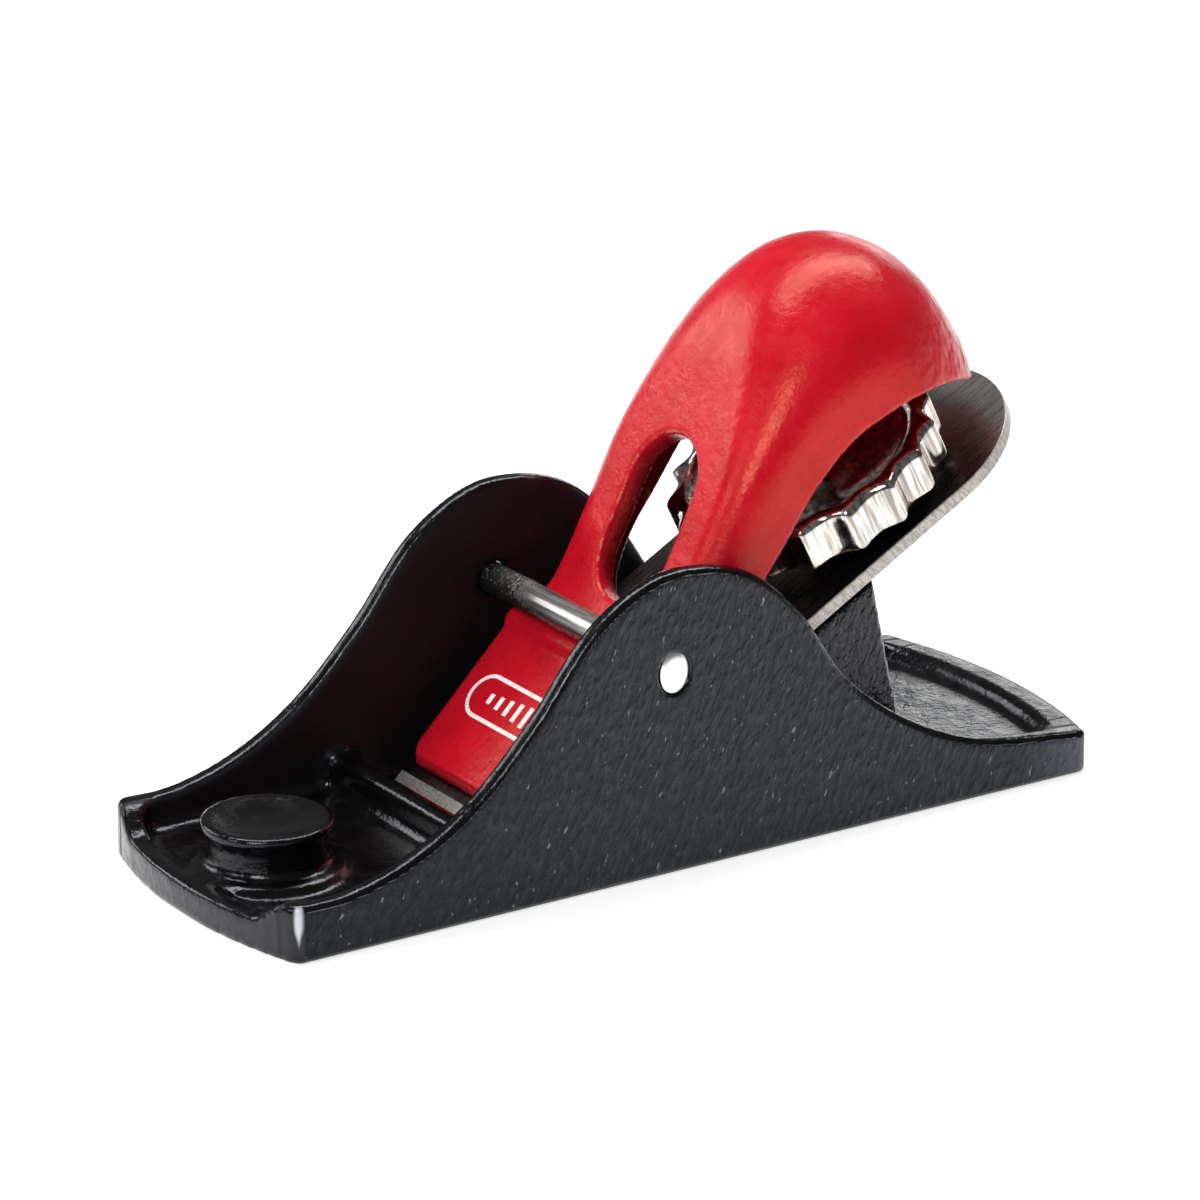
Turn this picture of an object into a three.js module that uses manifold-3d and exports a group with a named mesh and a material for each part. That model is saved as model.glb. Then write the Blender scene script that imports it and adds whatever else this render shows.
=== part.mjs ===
// A small block plane with a hooded lever cap: cast body with a riveted cross pin, cutter bedded
// bevel up, lever cap that rocks on the pin, and a lock wheel on a threaded stud.
// Millimetres. X runs from the toe (-X) to the heel (+X), Z is up, and the sole lies on z = 0.

import * as THREE from 'three';
import { LoftGeometry } from 'three/addons/geometries/LoftGeometry.js';
import { mergeVertices } from 'three/addons/utils/BufferGeometryUtils.js';
import Module from 'manifold-3d';

const wasm = await Module();
wasm.setup();

// ---- Driving dimensions ----

const GAP = 0.3; // running clearance between two pieces that touch

const BODY_LENGTH = 140;
const BODY_WIDTH = 49.6;
const END_BULGE = 4; // how far the rounded toe and heel stand out past the straight sides
const WALL = 3.2;
const FLOOR = 3.6; // thickness of the sole plate
const TOE_RIM_HEIGHT = 4.8;
const TOE_CORNER_HEIGHT = 8.4; // the toe's rim rises to this at both corners
const HEEL_RIM_HEIGHT = 6.4;
const PLAIN_END = BODY_LENGTH / 2 - END_BULGE; // where the straight sides stop

// Crest of a cheek wall as seen from the side, from the heel to the toe.
const CHEEK_CREST = [
  [PLAIN_END, HEEL_RIM_HEIGHT], [46, 9.3], [34, 14.9], [24, 23], [16, 34.3], [8, 41.4], [0, 44],
  [-8, 43.75], [-18, 38.3], [-28, 26.4], [-38, 16.8], [-48, 11.1], [-58, TOE_CORNER_HEIGHT],
  [-PLAIN_END, TOE_CORNER_HEIGHT],
];

const PIN_X = -5.25;
const PIN_Z = 29.7;
const PIN_RADIUS = 2.3;

const BED_ANGLE = THREE.MathUtils.degToRad(29.5);
const EDGE_X = -27.7; // cutting edge
const EDGE_Z = 0.3;
const CUTTER_LENGTH = 106;
const CUTTER_WIDTH = 37;
const CUTTER_THICKNESS = 2;
const BEVEL_LENGTH = 6.6;

const MOUTH_FRONT_X = -29.5;
const MOUTH_WIDTH = 38.6;

const RIB_FRONT_X = -33;
const RIB_HEIGHT = 8.7;

const BED_WIDTH = 36.6;
const BED_WEB = 3.8; // side webs and rear wall of the hollow bed
const BED_TOP_X = 32.6;
const BED_FOOT_X = 39.5;
const BED_CAVITY_X = -8;

const REST_X = -56; // finger rest
const REST_RADIUS = 9.2;
const REST_TOP = 11.6;
const REST_DISH = 1.4; // how far its top is hollowed
const REST_TIER_TOP = FLOOR + 1.9; // step at the foot of its stem

const CAP_HALF_WIDTH = 17.8;
const DOME_HALF_WIDTH = 18.7;
const CAP_WALL = 3.6;
const CAP_FRONT = [[-5.8, 25.1], [-21.8, 8.6], [-22.1, 7.6]]; // front plate, from its lip downwards
const CAP_BACK_OF_NOSE = -20.6;
const NECK_CROWN = { depth: 5, fullness: 2.6 }; // boxy section at the neck
const DOME_CROWN = { depth: 19.5, fullness: 2.05 }; // nearly round section at the palm
const DOME_STARTS_Z = 48;
const DOME_FULL_Z = 76;
const DOME_PEAK_X = 38;
const ROCK_RELIEF = Math.tan(THREE.MathUtils.degToRad(3.5)); // lets the flanges drop as the cap rocks
const SLOT_X = 6; // middle of the slot
const SLOT_Z = 43.2;
const SLOT_WIDTH = 15;
const SLOT_LENGTH = 25;
const SLOT_DEPTH = 11;
const NECK_ANGLE = THREE.MathUtils.degToRad(59);

const WHEEL_ANGLE = THREE.MathUtils.degToRad(26);
const WHEEL_X = 34.9; // middle of the wheel's lower face
const WHEEL_Z = 41.9;
const WHEEL_RADIUS = 19.6;
const SCALLOP_DEPTH = 0.75;
const SCALLOPS = 17;
const WHEEL_HEIGHT = 7;
const WHEEL_RECESS_RADIUS = 16.4;
const WHEEL_RECESS_DEPTH = 1.6;

const STUD_RADIUS = 3;
const STUD_BELOW_WHEEL = 2.9;
const STUD_ABOVE_WHEEL = 14;
const BOSS_RADIUS = 6.5;
const BOSS_GAP = 2.8; // room between the wheel and the threaded boss
const WHEEL_ROOM = 0.6; // clearance cut for the wheel's rim inside the hood

// ---- Materials ----

const castBlack = new THREE.MeshStandardMaterial({ color: '#2b2c30', roughness: 0.38, metalness: 0.1 });
const redEnamel = new THREE.MeshStandardMaterial({ color: '#c4121f', roughness: 0.3, metalness: 0 });
const toolSteel = new THREE.MeshStandardMaterial({ color: '#6d6864', roughness: 0.4, metalness: 1 });
const brightPlate = new THREE.MeshStandardMaterial({ color: '#d5d3cf', roughness: 0.18, metalness: 1 });
const pinSteel = new THREE.MeshStandardMaterial({ color: '#b9b6b1', roughness: 0.32, metalness: 1 });

// ---- Helpers ----

// Join the doubled corners of a closed geometry and make it a solid.
function solidOf(geometry) {
  const bare = new THREE.BufferGeometry().copy(geometry);
  bare.deleteAttribute('normal');
  bare.deleteAttribute('uv');
  const merged = mergeVertices(bare, 1e-4);
  const index = merged.index.array;
  const triangles = [];
  for (let i = 0; i < index.length; i += 3) {
    const [a, b, c] = index.slice(i, i + 3);
    if (a !== b && b !== c && c !== a) triangles.push(a, b, c);
  }
  return new wasm.Manifold(new wasm.Mesh({
    numProp: 3,
    vertProperties: Float32Array.from(merged.attributes.position.array),
    triVerts: Uint32Array.from(triangles),
  }));
}

function geometryOf(solid) {
  const mesh = solid.getMesh();
  const geometry = new THREE.BufferGeometry();
  geometry.setAttribute('position', new THREE.BufferAttribute(mesh.vertProperties, 3));
  geometry.setIndex(new THREE.BufferAttribute(mesh.triVerts, 1));
  const faceted = geometry.toNonIndexed();
  faceted.computeVertexNormals();
  return faceted;
}

function shapeOf(points) {
  return new THREE.Shape(points.map(([x, y]) => new THREE.Vector2(x, y)));
}

// A side view (x, z) carried across the plane from y = from to y = to.
function acrossPrism(shape, from, to) {
  const geometry = new THREE.ExtrudeGeometry(shape, { depth: to - from, bevelEnabled: false });
  return solidOf(geometry.rotateX(Math.PI / 2).translate(0, to, 0));
}

// A plan view (x, y) carried up from z = from to z = to.
function uprightPrism(shape, from, to) {
  const geometry = new THREE.ExtrudeGeometry(shape, {
    depth: to - from, bevelEnabled: false, curveSegments: 10,
  });
  return solidOf(geometry.translate(0, 0, from));
}

function boxBetween(low, high) {
  const size = low.map((value, axis) => high[axis] - value);
  const middle = low.map((value, axis) => (high[axis] + value) / 2);
  return solidOf(new THREE.BoxGeometry(...size).translate(...middle));
}

function spun(profile, segments) {
  return solidOf(new THREE.LatheGeometry(shapeOf(profile).getPoints(), segments).rotateX(Math.PI / 2));
}

function named(name, geometry, material) {
  const mesh = new THREE.Mesh(geometry, material);
  mesh.name = name;
  return mesh;
}

// Height of the bed plane, which is the cutter's underside, above a place x.
function bedHeight(x) {
  return EDGE_Z + (x - EDGE_X) * Math.tan(BED_ANGLE);
}

function cutterTop(x) {
  return bedHeight(x) + CUTTER_THICKNESS / Math.cos(BED_ANGLE);
}

// ---- Body ----

// Plan of the body, set in by a margin: straight sides with a shallow arc at the toe and heel.
function bodyPlan(margin) {
  const halfWidth = BODY_WIDTH / 2;
  const bulgeRadius = (halfWidth ** 2 + END_BULGE ** 2) / (2 * END_BULGE);
  const centre = BODY_LENGTH / 2 - bulgeRadius;
  const radius = bulgeRadius - margin;
  const sweep = Math.asin((halfWidth - margin) / radius);
  const shape = new THREE.Shape();
  shape.absarc(centre, 0, radius, -sweep, sweep, false);
  shape.absarc(-centre, 0, radius, Math.PI - sweep, Math.PI + sweep, false);
  shape.closePath();
  return shape;
}

// Side view of one cheek wall: low at both ends and humped over the cross pin.
function cheekShape() {
  const crest = new THREE.SplineCurve(CHEEK_CREST.map(([x, z]) => new THREE.Vector2(x, z)));
  const shape = new THREE.Shape([new THREE.Vector2(-PLAIN_END, 0), new THREE.Vector2(PLAIN_END, 0)]);
  crest.getPoints(36).forEach((point) => shape.lineTo(point.x, point.y));
  return shape;
}

// The low rim that closes one end; it rises to meet the cheeks at the corners.
function endRim(side, height, cornerHeight) {
  const half = BODY_WIDTH / 2;
  const crossView = shapeOf([
    [-half, 0], [half, 0], [half, cornerHeight], [half - WALL, cornerHeight], [half - 8, height],
    [8 - half, height], [WALL - half, cornerHeight], [-half, cornerHeight],
  ]);
  const far = side * (BODY_LENGTH / 2 + 1);
  const near = side * (PLAIN_END - WALL);
  const band = new THREE.ExtrudeGeometry(crossView, { depth: Math.abs(far - near), bevelEnabled: false });
  band.rotateX(Math.PI / 2).rotateZ(Math.PI / 2).translate(Math.min(far, near), 0, 0);
  const ring = uprightPrism(bodyPlan(0), 0, 12).subtract(uprightPrism(bodyPlan(WALL), -1, 13));
  return ring.intersect(solidOf(band));
}

// Hollow bed: a ramp at the mouth, two side webs and a leaning rear wall under the cutter.
function bed() {
  const rampX = MOUTH_FRONT_X + 2;
  const outer = acrossPrism(shapeOf([
    [rampX, 0], [BED_FOOT_X, 0], [BED_FOOT_X, 2], [BED_TOP_X, bedHeight(BED_TOP_X) - GAP],
    [rampX, bedHeight(rampX) - GAP],
  ]), -BED_WIDTH / 2, BED_WIDTH / 2);
  const inside = BED_WIDTH / 2 - BED_WEB;
  const cavity = acrossPrism(shapeOf([
    [BED_CAVITY_X, FLOOR], [BED_FOOT_X - BED_WEB - 1, FLOOR], [BED_TOP_X - BED_WEB, 40],
    [BED_CAVITY_X, 40],
  ]), -inside, inside);
  return outer.subtract(cavity);
}

function fingerRest() {
  const stem = REST_RADIUS - 0.9;
  const tier = REST_RADIUS + 2.2;
  return spun([
    [0, 1], [tier + 1.6, 1], [tier + 1.6, FLOOR], [tier, REST_TIER_TOP], [stem, REST_TIER_TOP + 0.4],
    [stem, REST_TOP - 1.6], [REST_RADIUS, REST_TOP - 1], [REST_RADIUS - 0.4, REST_TOP],
    [REST_RADIUS / 2, REST_TOP - REST_DISH * 0.75], [0, REST_TOP - REST_DISH],
  ], 40).translate([REST_X, 0, 0]);
}

function planeBody() {
  const half = BODY_WIDTH / 2;
  const pinBore = solidOf(new THREE.CylinderGeometry(
    PIN_RADIUS + GAP, PIN_RADIUS + GAP, BODY_WIDTH + 2, 32).translate(PIN_X, 0, PIN_Z));
  const underCutter = acrossPrism(shapeOf([
    [MOUTH_FRONT_X, -1], [EDGE_X - EDGE_Z, -1], [EDGE_X + 0.6, bedHeight(EDGE_X) - GAP],
    [EDGE_X + 12, bedHeight(EDGE_X + 12) - GAP], [EDGE_X + 12, 14], [MOUTH_FRONT_X, 14],
  ]), -MOUTH_WIDTH / 2, MOUTH_WIDTH / 2);
  const rib = boxBetween([RIB_FRONT_X, 1 - half, 1], [MOUTH_FRONT_X, half - 1, RIB_HEIGHT]);
  return uprightPrism(bodyPlan(0), 0, FLOOR)
    .add(acrossPrism(cheekShape(), -half, WALL - half))
    .add(acrossPrism(cheekShape(), half - WALL, half))
    .add(endRim(-1, TOE_RIM_HEIGHT, TOE_CORNER_HEIGHT))
    .add(endRim(1, HEEL_RIM_HEIGHT, HEEL_RIM_HEIGHT + 0.01))
    .add(rib)
    .add(bed())
    .add(fingerRest())
    .subtract(underCutter)
    .subtract(pinBore);
}

// ---- Cross pin ----

function crossPin() {
  return new THREE.CylinderGeometry(PIN_RADIUS, PIN_RADIUS, BODY_WIDTH, 32);
}

// ---- Cutter ----

// Built flat with its edge at the origin, underside down and length along +X.
function cutter() {
  const half = CUTTER_WIDTH / 2;
  const plan = new THREE.Shape();
  plan.moveTo(0, half);
  plan.lineTo(0, -half);
  plan.absarc(CUTTER_LENGTH - half, 0, half, -Math.PI / 2, Math.PI / 2, false);
  plan.closePath();
  const edge = 0.05;
  const side = shapeOf([
    [0, 0], [CUTTER_LENGTH + 1, 0], [CUTTER_LENGTH + 1, CUTTER_THICKNESS],
    [BEVEL_LENGTH, CUTTER_THICKNESS], [0, edge],
  ]);
  const blank = solidOf(new THREE.ExtrudeGeometry(plan, {
    depth: CUTTER_THICKNESS + 2, bevelEnabled: false, curveSegments: 24,
  }).translate(0, 0, -1));
  return blank.intersect(acrossPrism(side, -half - 1, half + 1));
}

// ---- Lever cap ----

// The cap's sections stand in half-planes that turn about one line across the plane.
const FAN = new THREE.Vector2(30, 35.3);

// Top line of the cap along the middle, from its seat under the pin over the dome to the tip.
const CAP_TOP = [
  [-5.3, 26.8], [-3.5, 27.4], [-1.9, 28.9], [0.8, 32.5], [5, 39.8], [10.4, 50], [15.3, 59],
  [19.6, 66.8], [24.6, 73.2], [31, 77.9], [38, 79.2], [44.2, 77.4], [49.9, 72.9], [54.2, 67],
  [56.8, 61.8], [58.3, 56.2],
];

// Underside of the hood as seen from the side, from the tip round to the cheek's hidden edge.
const ARCH = [
  [58.6, 56.4], [54.5, 57.6], [49.2, 59.5], [44, 60.1], [38.6, 59.4], [34.1, 57.6], [29.6, 55.2],
  [25.2, 51.2], [21.3, 46.5], [17.5, 41], [14.6, 37.1], [12.3, 33], [11, 29],
];

// One arched section: a crown of half width and depth, then straight sides down to the fan line.
function archSection(top, halfWidth, depth, fullness, inset) {
  const arm = new THREE.Vector2(top[0], top[1]).sub(FAN);
  const reach = arm.length() - inset;
  const direction = arm.normalize();
  const steps = 9;
  const side = [[CAP_HALF_WIDTH - inset, 0]];
  for (let i = steps; i >= 1; i -= 1) {
    const angle = (i / steps) * (Math.PI / 2);
    side.push([
      (halfWidth - inset) * Math.sin(angle) ** (2 / fullness),
      reach - (depth - inset) * (1 - Math.cos(angle) ** (2 / fullness)),
    ]);
  }
  const ring = [...side, [0, reach], ...side.map(([y, r]) => [-y, r]).reverse()];
  return ring.map(([y, r]) => new THREE.Vector3(FAN.x + r * direction.x, y, FAN.y + r * direction.y));
}

// The cap is boxy at the neck and turns into a round dome towards the palm.
function hood(inset, first) {
  const line = new THREE.SplineCurve(CAP_TOP.slice(first).map(([x, z]) => new THREE.Vector2(x, z)));
  const sections = line.getPoints(34).map((point) => {
    const rise = THREE.MathUtils.smoothstep(point.y, DOME_STARTS_Z, DOME_FULL_Z);
    const dome = point.x > DOME_PEAK_X ? 1 : rise;
    return archSection(
      [point.x, point.y],
      THREE.MathUtils.lerp(CAP_HALF_WIDTH, DOME_HALF_WIDTH, dome),
      THREE.MathUtils.lerp(NECK_CROWN.depth, DOME_CROWN.depth, dome),
      THREE.MathUtils.lerp(NECK_CROWN.fullness, DOME_CROWN.fullness, dome),
      inset,
    );
  });
  return solidOf(new LoftGeometry(sections, { closed: true, capStart: true, capEnd: true }));
}

// A round bar about the wheel's own tilted axis, between two heights above the wheel's lower face.
function onWheelAxis(radius, from, to, segments) {
  return solidOf(new THREE.CylinderGeometry(radius, radius, to - from, segments)
    .rotateX(Math.PI / 2)
    .translate(0, 0, (from + to) / 2)
    .rotateY(-WHEEL_ANGLE)
    .translate(WHEEL_X, 0, WHEEL_Z));
}

// Round-ended slot through the neck, square to its front.
function neckSlot() {
  const end = (SLOT_LENGTH - SLOT_WIDTH) / 2;
  const plan = new THREE.Shape();
  plan.absarc(end, 0, SLOT_WIDTH / 2, -Math.PI / 2, Math.PI / 2, false);
  plan.absarc(-end, 0, SLOT_WIDTH / 2, Math.PI / 2, Math.PI * 1.5, false);
  plan.closePath();
  return solidOf(new THREE.ExtrudeGeometry(plan, { depth: SLOT_DEPTH, bevelEnabled: false })
    .translate(0, 0, 4 - SLOT_DEPTH)
    .rotateY(-NECK_ANGLE)
    .translate(SLOT_X, 0, SLOT_Z));
}

function leverCap() {
  const half = CAP_HALF_WIDTH;
  const inside = half - CAP_WALL;
  const bossFoot = WHEEL_HEIGHT + BOSS_GAP;
  const front = acrossPrism(shapeOf([
    [CAP_BACK_OF_NOSE, cutterTop(CAP_BACK_OF_NOSE)], [FAN.x, cutterTop(FAN.x) - 1],
    [FAN.x, FAN.y + 2], [2, 31], CAP_TOP[0], ...CAP_FRONT,
  ]), -half, half);
  const belly = acrossPrism(shapeOf([
    [5, 18], [40, 18], [40, 42], [FAN.x, FAN.y + 2], [5, 33.6],
  ]), -inside, inside);
  const wheelRoom = onWheelAxis(WHEEL_RADIUS + SCALLOP_DEPTH + WHEEL_ROOM, -1, bossFoot, 48);
  const boss = onWheelAxis(BOSS_RADIUS, bossFoot, bossFoot + 16, 28);
  const bore = onWheelAxis(STUD_RADIUS + GAP, bossFoot - 0.5, bossFoot + 13.5, 28);
  const tip = ARCH[0];
  const arch = acrossPrism(shapeOf([...ARCH, [11, 18], [75, 18], [75, tip[1]]]), -30, 30);
  const overCutter = acrossPrism(shapeOf([
    [-40, -20], [60, -20], [60, cutterTop(60) + GAP + 60 * ROCK_RELIEF],
    [PIN_X, cutterTop(PIN_X) + GAP], [-40, cutterTop(-40) + GAP],
  ]), -30, 30);
  return hood(0, 0)
    .add(front)
    .subtract(hood(CAP_WALL, 3).add(belly))
    .subtract(wheelRoom)
    .add(boss.intersect(hood(1, 0)))
    .subtract(bore)
    .subtract(neckSlot())
    .subtract(arch)
    .subtract(overCutter);
}

// ---- Lock wheel and its stud, built upright with the wheel's lower face at the origin ----

function lockWheel() {
  const outline = new THREE.Shape();
  const steps = SCALLOPS * 8;
  for (let i = 0; i < steps; i += 1) {
    const angle = (i / steps) * Math.PI * 2;
    const radius = WHEEL_RADIUS + SCALLOP_DEPTH * Math.cos(angle * SCALLOPS);
    const point = [radius * Math.cos(angle), radius * Math.sin(angle)];
    if (i === 0) outline.moveTo(...point);
    else outline.lineTo(...point);
  }
  outline.closePath();
  const blank = solidOf(new THREE.ExtrudeGeometry(outline, { depth: WHEEL_HEIGHT, bevelEnabled: false }));
  const recess = solidOf(new THREE.CylinderGeometry(
    WHEEL_RECESS_RADIUS, WHEEL_RECESS_RADIUS, WHEEL_RECESS_DEPTH * 2, 48).rotateX(Math.PI / 2));
  const hole = solidOf(new THREE.CylinderGeometry(
    STUD_RADIUS + GAP, STUD_RADIUS + GAP, WHEEL_HEIGHT * 3, 28).rotateX(Math.PI / 2));
  return blank
    .subtract(recess)
    .subtract(recess.translate([0, 0, WHEEL_HEIGHT]))
    .subtract(hole);
}

function lockStud() {
  const length = STUD_BELOW_WHEEL + WHEEL_HEIGHT + STUD_ABOVE_WHEEL;
  return new THREE.CylinderGeometry(STUD_RADIUS, STUD_RADIUS, length, 28)
    .rotateX(Math.PI / 2)
    .translate(0, 0, length / 2 - STUD_BELOW_WHEEL);
}

// ---- Assembly ----

const plane = new THREE.Group();

plane.add(named('plane_body', geometryOf(planeBody()), castBlack));

const pin = named('cross_pin', crossPin(), pinSteel);
pin.position.set(PIN_X, 0, PIN_Z);
plane.add(pin);

const blade = named('cutter', geometryOf(cutter()), toolSteel);
blade.position.set(EDGE_X, 0, EDGE_Z);
blade.rotation.y = -BED_ANGLE;
plane.add(blade);

plane.add(named('lever_cap', geometryOf(leverCap()), redEnamel));

const lock = new THREE.Group();
lock.position.set(WHEEL_X, 0, WHEEL_Z);
lock.rotation.y = -WHEEL_ANGLE;
lock.add(named('lock_wheel', geometryOf(lockWheel()), brightPlate));
lock.add(named('lock_stud', lockStud(), pinSteel));
plane.add(lock);

export default plane;
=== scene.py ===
"""Visual model of a small block plane with a hooded lever cap.

Lengths are millimetres until a mesh is made; Blender's own units are metres. X runs from the toe
to the heel, Z is up, and the sole lies on z = 0, as in the CAD frame.
"""

import math
from functools import partial

import bmesh
import bpy
import numpy as np
from mathutils import Euler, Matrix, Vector


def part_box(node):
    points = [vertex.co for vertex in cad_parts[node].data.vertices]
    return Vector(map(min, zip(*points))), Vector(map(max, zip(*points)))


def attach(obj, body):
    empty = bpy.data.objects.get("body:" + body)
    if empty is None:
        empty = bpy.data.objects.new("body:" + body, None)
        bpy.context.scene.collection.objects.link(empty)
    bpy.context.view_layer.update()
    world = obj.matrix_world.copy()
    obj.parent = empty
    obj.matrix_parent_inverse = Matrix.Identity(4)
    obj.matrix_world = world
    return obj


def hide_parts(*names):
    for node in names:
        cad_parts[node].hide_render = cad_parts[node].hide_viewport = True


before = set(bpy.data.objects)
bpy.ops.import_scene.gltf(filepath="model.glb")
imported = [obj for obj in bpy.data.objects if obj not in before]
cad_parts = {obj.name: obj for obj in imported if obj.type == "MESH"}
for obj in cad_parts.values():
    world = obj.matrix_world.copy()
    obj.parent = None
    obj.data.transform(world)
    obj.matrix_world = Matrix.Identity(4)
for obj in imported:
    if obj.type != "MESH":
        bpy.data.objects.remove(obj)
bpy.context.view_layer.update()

MM = 0.001

# ---- Dimensions, millimetres ----


def box_mm(node):
    """Lowest and highest corner of a CAD node, in millimetres."""
    low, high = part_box(node)
    return np.array(low) / MM, np.array(high) / MM


BODY_LOW, BODY_HIGH = box_mm("plane_body")
BODY_LENGTH = BODY_HIGH[0] - BODY_LOW[0]
BODY_WIDTH = BODY_HIGH[1] - BODY_LOW[1]
END_BULGE = 4.0  # how far the rounded toe and heel stand out past the straight sides
CORNER_RADIUS = 1.5
WALL = 3.2
HEEL_WALL = 5.2
POCKET_CORNER = 3.0
RIM_RADIUS = 1.1
TOE_RIM = 4.8
HEEL_RIM = 6.4
SWEEP_START = 15.5  # across the body, from where each end's rim sweeps up to the cheek walls
SWEEP_MARGIN = 2.5
FLOOR = 3.6
HEEL_FLOOR = 4.5
FLOOR_FILLET = 2.0
SOLE_EDGE = 0.45

PIN_LOW, PIN_HIGH = box_mm("cross_pin")
PIN_X = (PIN_LOW[0] + PIN_HIGH[0]) / 2
PIN_Z = (PIN_LOW[2] + PIN_HIGH[2]) / 2
PIN_RADIUS = (PIN_HIGH[0] - PIN_LOW[0]) / 2
PIN_HEAD_STRETCH = 1.32  # how much taller than wide the hammered ends are
PIN_HEAD_DEPTH = 0.8
CLEARANCE = 0.15

CUTTER_LOW, CUTTER_HIGH = box_mm("cutter")
CUTTER_WIDTH = CUTTER_HIGH[1] - CUTTER_LOW[1]
CUTTER_LENGTH = 106.0
CUTTER_THICKNESS = 2.0
BEVEL_LENGTH = 6.6
CUTTER_SOFTENING = 0.15
FLAT = 0.98  # a face of the cutter whose normal is upright by more than this is left dark
BED_ANGLE = math.radians(29.5)
EDGE_X, EDGE_Z = CUTTER_LOW[0], CUTTER_LOW[2]

MOUTH_FRONT = EDGE_X - 1.8
MOUTH_HALF = 19.3
RIB_FRONT = -33.0
RIB_TOP = 8.7
RIB_EDGE = 1.3
RIB_FILLET = 2.3

BED_HALF = 18.3
BED_WEB = 3.8
BED_TOP_X = 32.6
BED_FOOT_X = 39.5
BED_CAVITY_X = -8.0
BED_EDGE = 0.7
BED_FILLET = 1.2
BED_GAP = 0.25  # between the bed and the cutter on it
CAVITY_CORNER = 2.0

REST_X = -56.0
REST_RADIUS = 9.2
REST_TOP = 11.6
REST_HEAD_HALF = 0.95
REST_OVERHANG = 0.75
REST_TIER_STEP = 1.9
REST_TIER_HEIGHT = 1.5
DISH_RADIUS = 27.6
DISH_DEPTH = 1.4

CAP_LOW, CAP_HIGH = box_mm("lever_cap")
NECK_HALF = 17.8
DOME_HALF = (CAP_HIGH[1] - CAP_LOW[1]) / 2
CAP_WALL = 3.6
FRONT_CORNER = 3.2
PRINT_RAISE = 0.06
PRINT_SUNK = -0.1
PRINT_HALF_LONG = 14.2
PRINT_HALF_TALL = 3.6
PRINT_LINE = 0.62
PRINT_ALONG = 12.3  # up the front plate from its lower edge
BAR_PITCH = 2.3
BAR_HALF = 0.45
BAR_TALLEST = 1.7
BAR_STEP = 0.22
SLOT_WIDTH = 15.0
SLOT_LENGTH = 25.0
SLOT_AT = (6.0, 43.2)
NECK_ANGLE = math.radians(59)
HOLLOW_START = 4.2
BOSS_FILLET = 2.0
SLOT_EDGE = 0.55
ARCH_EDGE = 0.6
SEAT_EDGE = 0.4
SEAT_GAP = 0.12
ROCK_RELIEF = math.tan(math.radians(3.5))  # lets the cap's flanges drop as it rocks on the pin

WHEEL_AT = (34.9, 0.0, 41.9)
WHEEL_ANGLE = math.radians(26)
WHEEL_RADIUS = 19.6
WHEEL_HEIGHT = 7.0
SCALLOPS = 17
SCALLOP_DEPTH = 0.75
CREST_SOFTNESS = 0.05  # rounds the crests between two scallops
CREST_LIFT = 0.2236  # its square root, so that the crests stay on the rim
STUD_RADIUS = 3.0
STUD_BELOW = 2.9
STUD_ABOVE = 14.0
THREAD_PITCH = 1.27
THREAD_DEPTH = 0.55
THREAD_SIDE = 0.6  # points nearer the axis than this below the rod's radius stay where they are
BOSS_RADIUS = 6.5
BOSS_GAP = 2.8
BOSS_TOP = 23.0  # how far up the stud's hole goes from the wheel's lower face

# Outlines in side view, as (x, z) points.
CAP_TOP = [
    (-6.4, 25.8), (-5.3, 26.8), (-3.5, 27.4), (-1.9, 28.9), (0.8, 32.5), (4.8, 39.9), (9.9, 50.2),
    (14.6, 59.4), (18.9, 67.3), (24.1, 73.8), (30.8, 78.2), (38, 79.15), (44.0, 77.1), (49.6, 72.6),
    (53.9, 66.8), (56.7, 61.8), (58.3, 56.2),
]
CAP_FRONT = [(-21.4, 5.5), (-22.5, 8.3), (-6.8, 24.1)]
ARCH = [
    (58.6, 56.4), (54.5, 57.6), (49.2, 59.5), (44, 60.1), (38.6, 59.4), (34.1, 57.6),
    (29.6, 55.2), (25.2, 51.2), (21.3, 46.5), (17.5, 41), (14.6, 37.1), (12.3, 33), (11, 29),
]
CHEEK_CREST = [
    (-70, 8.2), (-66, 8.4), (-58, 8.4), (-48, 11.1), (-38, 16.8), (-28, 26.4), (-18, 38.3),
    (-8, 43.75), (0, 44), (8, 41.4), (16, 34.3), (24, 23), (34, 14.9), (46, 9.3), (60, 7.0),
    (66, 6.4), (70, 6.2),
]

# ---- Distance fields: negative inside the metal, in millimetres ----


def round_union(a, b, radius):
    """Two shapes joined with a cast fillet of this radius."""
    corner = np.hypot(np.maximum(radius - a, 0), np.maximum(radius - b, 0))
    return np.maximum(radius, np.minimum(a, b)) - corner


def round_cut(a, b, radius):
    """What both shapes share, its outer corner rounded to this radius."""
    corner = np.hypot(np.maximum(radius + a, 0), np.maximum(radius + b, 0))
    return np.minimum(-radius, np.maximum(a, b)) + corner


def between(a, b, start, end, t):
    return ((end - t) * a + (t - start) * b) / (end - start)


def smooth_curve(points, steps):
    """Points along a centripetal Catmull-Rom curve through the given ones."""
    pts = np.array(points, float)
    pts = np.vstack([2 * pts[0] - pts[1], pts, 2 * pts[-1] - pts[-2]])
    out = []
    for p0, p1, p2, p3 in zip(pts, pts[1:], pts[2:], pts[3:]):
        t0 = 0.0
        t1 = t0 + np.linalg.norm(p1 - p0) ** 0.5
        t2 = t1 + np.linalg.norm(p2 - p1) ** 0.5
        t3 = t2 + np.linalg.norm(p3 - p2) ** 0.5
        for t in np.linspace(t1, t2, steps, endpoint=False):
            a1, a2, a3 = between(p0, p1, t0, t1, t), between(p1, p2, t1, t2, t), between(p2, p3, t2, t3, t)
            b1, b2 = between(a1, a2, t0, t2, t), between(a2, a3, t1, t3, t)
            out.append(between(b1, b2, t1, t2, t))
    out.append(pts[-2])
    return np.array(out)


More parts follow.
